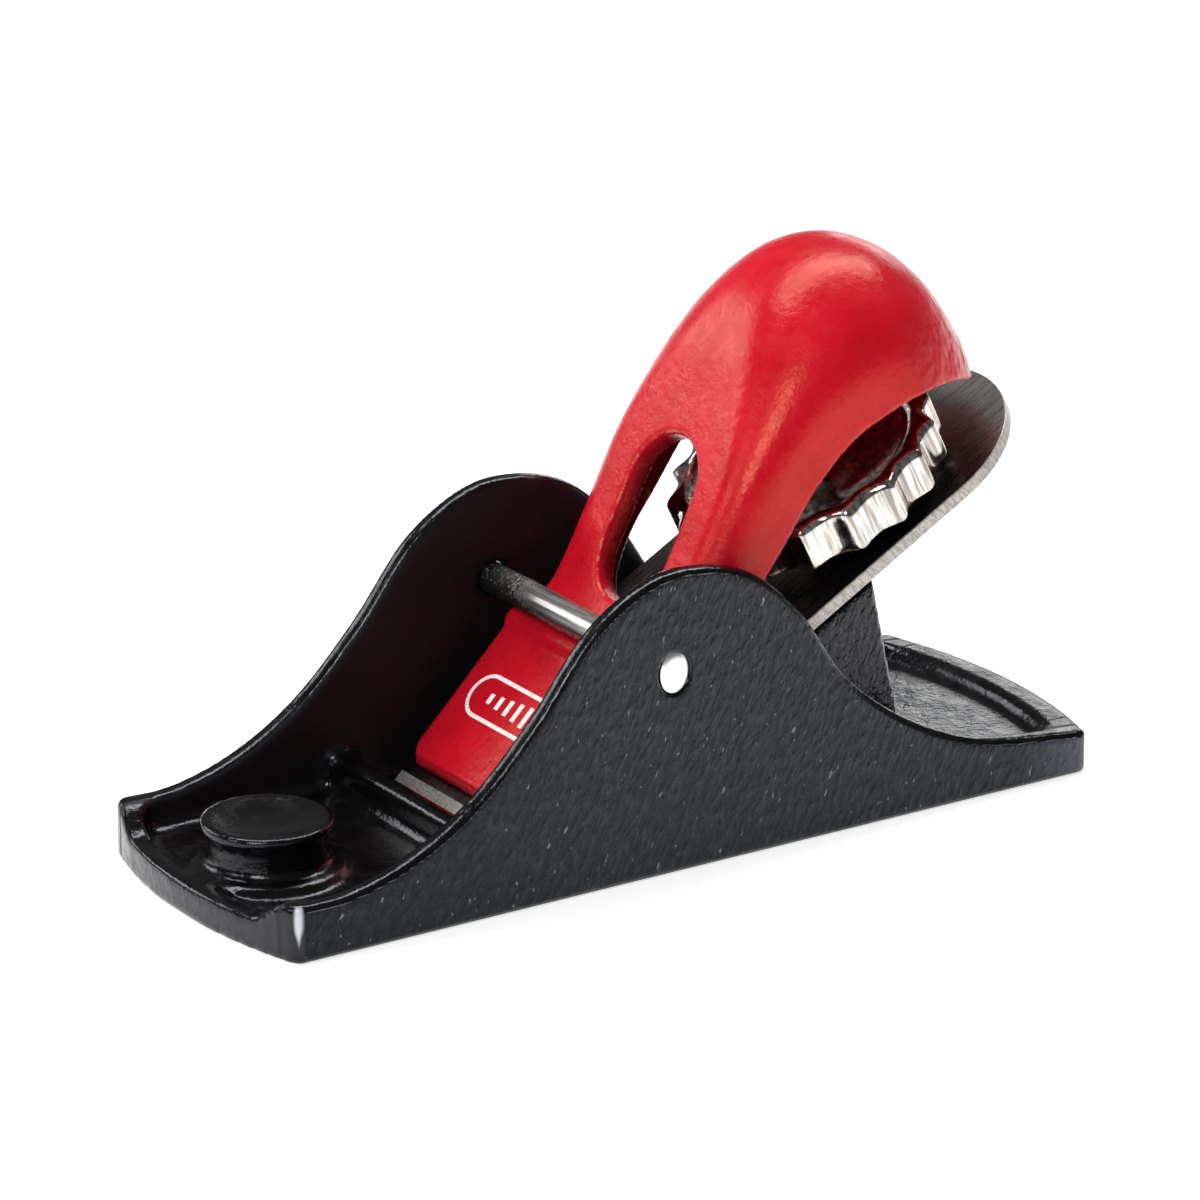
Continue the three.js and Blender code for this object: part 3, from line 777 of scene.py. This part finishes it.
def tool_steel(add, coords):
    """Hardened tool steel: dark from the quench on its flat with lengthwise scratches, ground bright
    across its edges and bevel."""
    ground = add(MARKS, out="Fac", attribute_name="ground")

    # The flat: dark, a little clouded, with a painted reflection that pales it towards the tail, and
    # scratches along the blade.
    along = add(MAPPING, {"Vector": coords, "Rotation": (0, BED_ANGLE, 0)})
    along = add(MAPPING, {"Vector": along, "Scale": (0.04, 1.0, 1.0)})
    streaks = add(NOISE, {"Vector": along, "Scale": per(0.35), "Detail": 3, "Roughness": 0.6})
    cloud = add(NOISE, {"Vector": coords, "Scale": per(12), "Detail": 3, "Roughness": 0.55})
    cloud = add(RANGE, {0: cloud, 1: 0.3, 2: 0.75}, **SMOOTH)
    # Painted reflection: the flat grows paler towards the tail.
    tail = add(RANGE, {0: add(SPLIT, {0: coords}), 1: 44 * MM, 2: 62 * MM, 4: 0.75}, **SMOOTH)
    scratches = add(RANGE, {0: streaks, 1: 0.62, 2: 0.72}, **SMOOTH)
    dark = add(MIX, {0: cloud, 6: linear("#4b4441"), 7: linear("#6e6866")}, **COLOURS)
    dark = add(MIX, {0: tail, 6: dark, 7: linear("#a5a19d")}, **COLOURS)
    dark = add(MIX, {0: scratches, 6: dark, 7: linear("#b3ada9")}, **COLOURS)
    dark_rough = add(RANGE, {0: streaks, 1: 0.3, 2: 0.7, 3: 0.34, 4: 0.24}, **SMOOTH)

    # The bevel and edges: the marks of a coarse wheel run across them.
    across = add(MAPPING, {"Vector": coords, "Rotation": (0, BED_ANGLE + math.radians(14), 0)})
    across = add(MAPPING, {"Vector": across, "Scale": (1.0, 1.0, 0.22)})
    grind = add(NOISE, {"Vector": across, "Scale": per(0.3), "Detail": 3, "Roughness": 0.6})
    marks = add(RANGE, {0: grind, 1: 0.35, 2: 0.65}, **SMOOTH)
    bright = add(MIX, {0: marks, 6: linear("#8f8a84"), 7: linear("#bdb8b1")}, **COLOURS)
    bright_rough = add(RANGE, {0: grind, 1: 0.3, 2: 0.7, 3: 0.3, 4: 0.5}, **SMOOTH)

    relief = add(MIX, {0: ground, 2: streaks, 3: grind})
    return {
        "Base Color": add(MIX, {0: ground, 6: dark, 7: bright}, **COLOURS),
        "Roughness": add(MIX, {0: ground, 2: dark_rough, 3: bright_rough}),
        "Metallic": add(MIX, {0: ground, 2: 1.0, 3: 0.55}),
        "Normal": add(BUMP, {"Height": relief, "Distance": 0.02 * MM, "Strength": 1.0}),
    }


def nickel_plate(add, coords):
    """Bright nickel plate over a wheel that was milled down its scallops; its dark and bright streaks are
    partly milling marks and partly painted reflection.
    """
    down = add(MAPPING, {"Vector": coords, "Rotation": (0, WHEEL_ANGLE, 0)})
    down = add(MAPPING, {"Vector": down, "Scale": (1.0, 1.0, 0.06)})
    streaks = add(NOISE, {"Vector": down, "Scale": per(0.7), "Detail": 3, "Roughness": 0.6})
    # Dark and bright streaks: partly milling marks, partly painted reflection.
    share = add(RANGE, {0: streaks, 1: 0.35, 2: 0.65}, **SMOOTH)
    cloud = add(NOISE, {"Vector": coords, "Scale": per(4)})
    return {
        "Base Color": add(MIX, {0: share, 6: linear("#8d8780"), 7: linear("#e6e2da")}, **COLOURS),
        "Roughness": add(RANGE, {0: cloud, 1: 0.3, 2: 0.7, 3: 0.1, 4: 0.2}, **SMOOTH),
        "Metallic": 1.0,
        "Normal": add(BUMP, {"Height": streaks, "Distance": 0.02 * MM, "Strength": 1.0}),
    }


def pin_steel(add, coords):
    """Drawn steel pin, satin, with black enamel overspray at its far end and on its underside."""
    _, y, z = add(SPLIT, {0: coords}, None)
    side = add(MATH, {0: y}, operation="ABSOLUTE")
    along = add(MAPPING, {"Vector": coords, "Scale": (1.0, 0.05, 1.0)})
    streaks = add(NOISE, {"Vector": along, "Scale": per(0.3)})
    share = add(RANGE, {0: streaks, 1: 0.35, 2: 0.65}, **SMOOTH)
    steel = add(MIX, {0: share, 6: linear("#a8a49f"), 7: linear("#d8d5d0")}, **COLOURS)

    # The riveted heads are rubbed bright.
    head = add(RANGE, {0: side, 1: (BODY_WIDTH / 2 - 0.6) * MM, 2: (BODY_WIDTH / 2 - 0.5) * MM}, **SMOOTH)
    rubbed = add(NOISE, {"Vector": coords, "Scale": per(1.2)})
    rubbed = add(MIX, {0: rubbed, 6: linear("#dcdcdf"), 7: linear("#f2f2f4")}, **COLOURS)
    steel = add(MIX, {0: head, 6: steel, 7: rubbed}, **COLOURS)

    # Overspray: thicker towards +Y and below, none on the heads, broken up into specks.
    reach = add(RANGE, {0: y, 1: 2 * MM, 2: 18 * MM, 4: 0.42}, **SMOOTH)
    under = add(RANGE, {0: z, 1: (PIN_Z + 0.8) * MM, 2: (PIN_Z - PIN_RADIUS) * MM, 4: 0.4}, **SMOOTH)
    between = add(RANGE, {0: side, 1: (BODY_WIDTH / 2 - 1) * MM, 2: (BODY_WIDTH / 2 - 2.5) * MM}, **SMOOTH)
    spray = add(MATH, {0: reach, 1: under}, **PLUS)
    spray = add(MATH, {0: spray, 1: between}, **TIMES)
    specks = add(NOISE, {"Vector": coords, "Scale": per(0.5), "Detail": 4, "Roughness": 0.75})
    specks = add(MATH, {0: specks, 1: spray}, **PLUS)
    black = add(RANGE, {0: specks, 1: 0.78, 2: 0.84}, **SMOOTH)

    relief = add(MATH, {0: streaks, 1: 0.4}, **TIMES)
    relief = add(MATH, {0: relief, 1: black}, **PLUS)
    return {
        "Base Color": add(MIX, {0: black, 6: steel, 7: linear("#0b0a0a")}, **COLOURS),
        "Roughness": add(MIX, {0: black, 2: 0.3, 3: 0.45}),
        "Metallic": add(MATH, {0: 1.0, 1: black}, **MINUS),
        "Normal": add(BUMP, {"Height": relief, "Distance": 0.03 * MM, "Strength": 1.0}),
    }


def stud_steel(add, coords):
    """Turned steel stud with a cut thread, lightly oiled."""
    tone = add(NOISE, {"Vector": coords, "Scale": per(2), "Detail": 3})
    share = add(RANGE, {0: tone, 1: 0.3, 2: 0.7}, **SMOOTH)
    turning = add(NOISE, {"Vector": coords, "Scale": per(0.3)})
    return {
        "Base Color": add(MIX, {0: share, 6: linear("#7d7974"), 7: linear("#aaa6a0")}, **COLOURS),
        "Roughness": add(RANGE, {0: tone, 1: 0.3, 2: 0.7, 3: 0.25, 4: 0.4}, **SMOOTH),
        "Metallic": 1.0,
        "Normal": add(BUMP, {"Height": turning, "Distance": 0.01 * MM, "Strength": 1.0}),
    }


def printed_white(add, coords):
    """White screen-printed ink, slightly uneven, over the red enamel."""
    tone = add(NOISE, {"Vector": coords, "Scale": per(0.8), "Detail": 3, "Roughness": 0.6})
    share = add(RANGE, {0: tone, 1: 0.3, 2: 0.75}, **SMOOTH)
    return {
        "Base Color": add(MIX, {0: share, 6: linear("#f4f1ee"), 7: linear("#dfd9d5")}, **COLOURS),
        "Roughness": add(RANGE, {0: tone, 1: 0.3, 2: 0.7, 3: 0.3, 4: 0.45}, **SMOOTH),
        "IOR": 1.5,
        "Normal": add(BUMP, {"Height": tone, "Distance": 0.01 * MM, "Strength": 1.0}),
    }


def light_table_top(add, coords):
    """Matt opal plastic with a glow of its own, so that the floor stays white to its far edge."""
    tone = add(RANGE, {0: add(NOISE, {"Vector": coords, "Scale": per(60)}), 1: 0.3, 2: 0.7}, **SMOOTH)
    return {
        "Base Color": add(MIX, {0: tone, 6: linear("#eeeeee"), 7: linear("#f2f2f2")}, **COLOURS),
        "Roughness": 0.9, "Specular IOR Level": 0.1,
        "Emission Color": linear("#ffffff"), "Emission Strength": 0.62,
    }


# ---- Pieces ----

CAST_STEP = 0.5


def make_body():
    piece = cast_mesh("body_casting", body_field, BODY_LOW, BODY_HIGH, CAST_STEP * 1.17)
    x, y, z = vertices_mm(piece).T

    # Painted highlight on the toe's two corners, wider towards the top.
    corner_x = BODY_LENGTH / 2 - END_BULGE - CORNER_RADIUS * 0.3
    from_corner = np.hypot(np.abs(x) - corner_x, np.abs(y) - BODY_WIDTH / 2 + CORNER_RADIUS * 0.3)
    reach = 0.35 + 0.45 * smoothstep(z, 2.5, 6.0)
    set_values(piece, "corner", np.exp(-(from_corner / reach) ** 2) * smoothstep(z, 0.0, 5.4) * (x < 0))
    piece.data.materials.append(new_material("black_enamel_on_cast_iron", black_enamel))
    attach(piece, "body")
    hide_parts("plane_body")


def make_pin():
    """Pin with a hammered head at each end, drawn taller than it is wide where it fills its flare."""
    half = BODY_WIDTH / 2
    dome = [(0.9, half + 0.02), (1.5, half - 0.03), (1.95, half - 0.14), (PIN_RADIUS, half - 0.36)]
    straight = [(PIN_RADIUS, y) for y in (1.1 - half, -half / 2, half / 2, half - 1.1)]
    profile = [(r, -y) for r, y in dome] + straight + dome[::-1]
    rings = []
    for ring in lathe_rings(profile, 48):
        head = smoothstep(abs(ring[0][2]), half - 1.05, half - 0.3)
        tall = 1 + (PIN_HEAD_STRETCH - 1) * head
        rings.append([(x, y * tall, z) for x, y, z in ring])
    piece = ring_mesh("riveted_cross_pin", rings)
    place(piece, (math.pi / 2, 0, 0), (PIN_X, 0, PIN_Z))
    shade_smooth(piece, 50)
    piece.data.materials.append(new_material("drawn_steel_with_overspray", pin_steel))
    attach(piece, "body")
    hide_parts("cross_pin")


def make_cap():
    piece = cast_mesh("hooded_lever_cap", cap_field, CAP_LOW, CAP_HIGH, CAST_STEP * 0.9)
    x, y, z = vertices_mm(piece).T

    # Where the enamel is worn thin on an edge, hammered by the arch, and darkened with painted shade inside
    # the hood.
    skin = np.abs(cap_skin(x, y, z, 0))
    slot_edge = np.hypot(skin, slot_field(x, y, z))
    arch = np.abs(arch_field(x, z))
    set_values(piece, "edge", np.exp(-(np.minimum(slot_edge, np.hypot(skin, arch)) / 0.45) ** 2))
    set_values(piece, "arch", np.exp(-(arch / 9) ** 2) * smoothstep(x, 30, 54))
    set_values(piece, "inside", smoothstep(skin, 0.8, 2.2) * (x > 3))
    piece.data.materials.append(new_material("red_gloss_enamel", red_enamel))
    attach(piece, "cap")
    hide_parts("lever_cap")


def make_badge():
    """Printed device on the cap's front plate: a plain stadium outline round a row of upright bars."""
    (start_x, start_z), (end_x, end_z) = CAP_FRONT[1:]
    slope = math.atan2(end_z - start_z, end_x - start_x)
    bm = bmesh.new()

    def strip(outer, inner):
        levels = ((outer, PRINT_SUNK), (outer, PRINT_RAISE), (inner, PRINT_RAISE), (inner, PRINT_SUNK))
        join_rings(bm, [[(v, u, height) for u, v in ring] for ring, height in levels], ends=False)

    def stadium(margin):
        tall = PRINT_HALF_TALL - margin
        turns = [math.pi * (i / 12 - 0.5) for i in range(13)]
        straight = PRINT_HALF_LONG - PRINT_HALF_TALL
        right = [(straight + tall * math.cos(t), tall * math.sin(t)) for t in turns]
        return right + [(-u, -v) for u, v in right]

    def bar(middle, half, tall):
        return [(middle + u * half, v * tall) for u, v in ((1, -1), (1, 1), (-1, 1), (-1, -1))]

    strip(stadium(0), stadium(PRINT_LINE))
    for i in range(-4, 5):
        tall = BAR_TALLEST - BAR_STEP * abs(i)
        strip(bar(i * BAR_PITCH, BAR_HALF, tall), bar(i * BAR_PITCH, BAR_HALF / 50, tall / 50))
    piece = bmesh_object("printed_stadium_device", bm)
    along = (PRINT_ALONG * math.cos(slope), 0, PRINT_ALONG * math.sin(slope))
    place(piece, (0, -slope, 0), (start_x + along[0], 0, start_z + along[2]))
    piece.data.materials.append(new_material("white_printed_ink", printed_white))
    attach(piece, "cap")


def make_cutter():
    """Blade with a round heel, a ground bevel and softened upper and lower edges."""
    half = CUTTER_WIDTH / 2
    soft = CUTTER_SOFTENING

    def outline(start, margin, height):
        turn = [-math.pi / 2 + math.pi * i / 48 for i in range(49)]
        centre = CUTTER_LENGTH - half
        tail = [
            (centre + (half - margin) * math.cos(t), (half - margin) * math.sin(t), height)
            for t in turn
        ]
        return [(start, half - margin, height), (start, margin - half, height)] + tail

    rings = [
        outline(0.1, soft, 0.0), outline(0.0, 0.0, soft * 0.5),
        outline(BEVEL_LENGTH - 0.3, 0.0, CUTTER_THICKNESS - soft),
        outline(BEVEL_LENGTH, soft, CUTTER_THICKNESS),
    ]
    piece = ring_mesh("cutter_blade", rings)
    set_values(piece, "ground", [abs(face.normal.z) <= FLAT for face in piece.data.polygons], "FACE")
    place(piece, (0, -BED_ANGLE, 0), (EDGE_X, 0, EDGE_Z))
    shade_smooth(piece, 25)
    piece.data.materials.append(new_material("tool_steel", tool_steel))
    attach(piece, "cutter")
    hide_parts("cutter")


def sunken_skin(name, labels, material, depth_at):
    """Tree that moves the points of a turned piece in towards its axis. depth_at works out how far from
    the named inputs, the point's distance from the axis, its turn about it and its height."""
    tree = bpy.data.node_groups.new(name, "GeometryNodeTree")
    tree.interface.new_socket("Geometry", in_out="INPUT", socket_type="NodeSocketGeometry")
    for label in labels:
        tree.interface.new_socket(label, in_out="INPUT", socket_type="NodeSocketFloat")
    tree.interface.new_socket("Geometry", in_out="OUTPUT", socket_type="NodeSocketGeometry")
    add = partial(add_node, tree)
    given = add("NodeGroupInput", out=None)
    x, y, z = add(SPLIT, {0: add("GeometryNodeInputPosition")}, None)
    square_x = add(MATH, {0: x, 1: x}, **TIMES)
    square_y = add(MATH, {0: y, 1: y}, **TIMES)
    square = add(MATH, {0: square_x, 1: square_y}, **PLUS)
    radius = add(MATH, {0: square}, operation="SQRT")
    turn = add(MATH, {0: y, 1: x}, operation="ARCTAN2")
    depth = depth_at(add, given, radius, turn, z)
    share = add(MATH, {0: radius, 1: 1e-6}, operation="MAXIMUM")
    share = add(MATH, {0: depth, 1: share}, operation="DIVIDE")
    scale = add(MATH, {0: 1.0, 1: share}, **MINUS)
    new_x = add(MATH, {0: x, 1: scale}, **TIMES)
    new_y = add(MATH, {0: y, 1: scale}, **TIMES)
    moved = add("ShaderNodeCombineXYZ", {0: new_x, 1: new_y, 2: z})
    shaped = add("GeometryNodeSetPosition", {"Geometry": given["Geometry"], "Position": moved})
    real = add("GeometryNodeRealizeInstances", {0: shaped})
    painted = add("GeometryNodeSetMaterial", {"Geometry": real, "Material": material})
    add("NodeGroupOutput", {0: painted}, None)
    return tree


def run_tree(piece, tree, values):
    """Gives a piece the tree with its inputs set, then makes the result a plain mesh."""
    modifier = piece.modifiers.new(tree.name, "NODES")
    modifier.node_group = tree
    for item in tree.interface.items_tree:
        if item.in_out == "INPUT" and item.name in values:
            modifier[item.identifier] = values[item.name]
    graph = bpy.context.evaluated_depsgraph_get()
    mesh = bpy.data.meshes.new_from_object(piece.evaluated_get(graph), depsgraph=graph)
    mesh.name = piece.name
    piece.modifiers.clear()
    piece.data = mesh


def scallop_depth(add, given, radius, turn, height):
    """Shallow flutes milled down a wheel, the deeper the nearer a point is to its rim."""
    half_count = add(MATH, {0: given["Count"], 1: 0.5}, **TIMES)
    wave = add(MATH, {0: turn, 1: half_count}, **TIMES)
    wave = add(MATH, {0: wave}, operation="SINE")
    wave = add(MATH, {0: wave, 1: wave}, **TIMES)
    wave = add(MATH, {0: wave, 1: CREST_SOFTNESS}, **PLUS)
    wave = add(MATH, {0: wave}, operation="SQRT")
    flute = add(MATH, {0: wave, 1: CREST_LIFT}, **MINUS)
    near_rim = add(RANGE, {0: radius, 1: given["Blend radius"], 2: given["Rim radius"]}, **SMOOTH)
    depth = add(MATH, {0: flute, 1: given["Depth"]}, **TIMES)
    return add(MATH, {0: depth, 1: near_rim}, **TIMES)


def thread_depth(add, given, radius, turn, height):
    """A screw thread wound round a plain rod: its skin sinks and rises once for each pitch."""
    turn = add(MATH, {0: turn, 1: 2 * math.pi}, operation="DIVIDE")
    pitches = add(MATH, {0: height, 1: given["Pitch"]}, operation="DIVIDE")
    phase = add(MATH, {0: pitches, 1: turn}, **MINUS)
    phase = add(MATH, {0: phase, 1: 100.0}, **PLUS)  # keeps it above zero
    phase = add(MATH, {0: phase}, operation="FRACT")
    phase = add(MATH, {0: phase, 1: 2.0, 2: -1.0}, operation="MULTIPLY_ADD")
    valley = add(MATH, {0: phase}, operation="ABSOLUTE")
    run_in = add(MATH, {0: given["First"], 1: given["Pitch"]}, **PLUS)
    run_out = add(MATH, {0: given["Last"], 1: given["Pitch"]}, **MINUS)
    from_start = add(RANGE, {0: height, 1: given["First"], 2: run_in})
    to_end = add(RANGE, {0: height, 1: given["Last"], 2: run_out})
    share = add(MATH, {0: from_start, 1: to_end}, **TIMES)
    on_side = add(MATH, {0: radius, 1: (STUD_RADIUS - THREAD_SIDE) * MM}, operation="GREATER_THAN")
    depth = add(MATH, {0: valley, 1: given["Depth"]}, **TIMES)
    depth = add(MATH, {0: depth, 1: share}, **TIMES)
    return add(MATH, {0: depth, 1: on_side}, **TIMES)


def make_wheel():
    """Turned wheel with a rounded upper rim, a recess and a raised ring on both faces."""
    outer = WHEEL_RADIUS + SCALLOP_DEPTH
    top = WHEEL_HEIGHT
    rim = [
        (outer - 1.9 + 1.9 * math.sin(a), top - 1.5 + 1.5 * math.cos(a))
        for a in [math.pi / 2 * i / 7 for i in range(8)]
    ]
    upper = [
        (STUD_RADIUS + 0.2, top - 1.0), (6.2, top - 1.0), (6.6, top - 1.25), (15.2, top - 1.3),
        (15.5, top - 1.15), (16.3, top - 1.1), (16.6, top - 0.5), (17.2, top - 0.12),
    ]
    side = [(outer, top - 1.5 - (top - 2) * i / 6) for i in range(1, 7)]
    lower = [
        (outer - 0.25, 0.0), (17.0, 0.0), (16.4, 0.35), (16.2, 1.3), (7.0, 1.5), (6.4, 0.9),
        (STUD_RADIUS + 0.2, 0.9),
    ]
    rings = lathe_rings(upper + rim + side + lower, SCALLOPS * 20)
    piece = ring_mesh("scalloped_lock_wheel", rings, ends=False)
    shade_smooth(piece, 50)
    sizes = {
        "Count": float(SCALLOPS), "Depth": 2 * SCALLOP_DEPTH * 1.15 * MM,
        "Rim radius": (outer - 1.4) * MM, "Blend radius": 17.0 * MM,
    }
    plate = new_material("bright_nickel_plate", nickel_plate)
    run_tree(piece, sunken_skin("milled_scallops", sizes, plate, scallop_depth), sizes)
    place(piece, (0, -WHEEL_ANGLE, 0), WHEEL_AT)
    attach(piece, "wheel")
    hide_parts("lock_wheel")


def make_stud():
    low, high = -STUD_BELOW, WHEEL_HEIGHT + STUD_ABOVE
    count = int((high - low - 0.8) / 0.16)
    body = [(STUD_RADIUS, low + 0.4 + (high - low - 0.8) * i / count) for i in range(count + 1)]
    profile = [(STUD_RADIUS - 0.5, low)] + body + [(STUD_RADIUS - 0.5, high)]
    piece = ring_mesh("threaded_stud", lathe_rings(profile, 40))
    shade_smooth(piece, 40)
    sizes = {
        "Pitch": THREAD_PITCH * MM, "Depth": THREAD_DEPTH * MM, "First": (WHEEL_HEIGHT + 0.3) * MM,
        "Last": (high - 0.5) * MM,
    }
    steel = new_material("turned_steel_stud", stud_steel)
    run_tree(piece, sunken_skin("cut_thread", sizes, steel, thread_depth), sizes)
    place(piece, (0, -WHEEL_ANGLE, 0), WHEEL_AT)
    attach(piece, "stud")
    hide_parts("lock_stud")


make_body()
make_pin()
make_cap()
make_badge()
make_cutter()
make_wheel()
make_stud()

# ---- Floor, light and camera, metres ----

FLOOR_HALF = 6.0


def make_floor():
    bm = bmesh.new()
    corners = [(-1, -1), (1, -1), (1, 1), (-1, 1)]
    bm.faces.new([bm.verts.new((x * FLOOR_HALF, y * FLOOR_HALF, 0)) for x, y in corners])
    floor = bmesh_object("pale_floor", bm)
    floor.data.materials.append(new_material("pale_light_table", light_table_top))


def softbox(name, at, size, power, aim=(0, 0, 0.03)):
    light = bpy.data.lights.new(name, "AREA")
    light.shape = "RECTANGLE"
    light.size, light.size_y = size
    light.energy = power
    lamp = new_object(name, light)
    lamp.location = at
    lamp.rotation_euler = (Vector(aim) - Vector(at)).to_track_quat("-Z", "Y").to_euler()


def make_light():
    """A dim room that is bright only just above the floor's far edge, and five softboxes, each placed
    for the highlight that it gives."""
    world = bpy.data.worlds.new("dim_studio_room")
    world.use_nodes = True
    tree = world.node_tree
    add = partial(add_node, tree)
    _, _, up = add(SPLIT, {0: add("ShaderNodeTexCoord", out="Generated")}, None)
    back = tree.nodes["Background"]
    back.inputs["Color"].default_value = linear("#ffffff")
    tree.links.new(add(RANGE, {0: up, 1: 0.02, 2: 0.06, 3: 1.0, 4: 0.12}), back.inputs["Strength"])
    bpy.context.scene.world = world
    softbox("overhead", (0.25, 0.28, 0.94), (1.3, 0.32), 12.0, (0.2, 0.0, 0.0))
    softbox("front_left", (-0.8, -0.6, 0.75), (0.3, 0.45), 6.0)
    softbox("toe_fill", (-0.95, 0.05, 0.55), (0.3, 0.3), 1.5)
    softbox("behind_left", (-0.5, 0.87, 0.47), (0.55, 0.3), 2.6)
    softbox("rear_strip", (0.52, 0.44, 0.21), (0.28, 0.15), 0.42)
    bpy.context.scene.view_settings.view_transform = "Standard"


def make_camera():
    camera = bpy.data.cameras.new("camera")
    camera.lens = 207.0
    camera.sensor_width = 36.0
    camera.clip_start, camera.clip_end = 0.05, 50
    holder = new_object("camera", camera)
    holder.location = Vector((-499.1, -761.2, 359.3)) * MM
    aim = Vector((0.14, 2.45, 31.14)) * MM
    holder.rotation_euler = (aim - holder.location).to_track_quat("-Z", "Y").to_euler()
    bpy.context.scene.camera = holder


make_floor()
make_light()
make_camera()
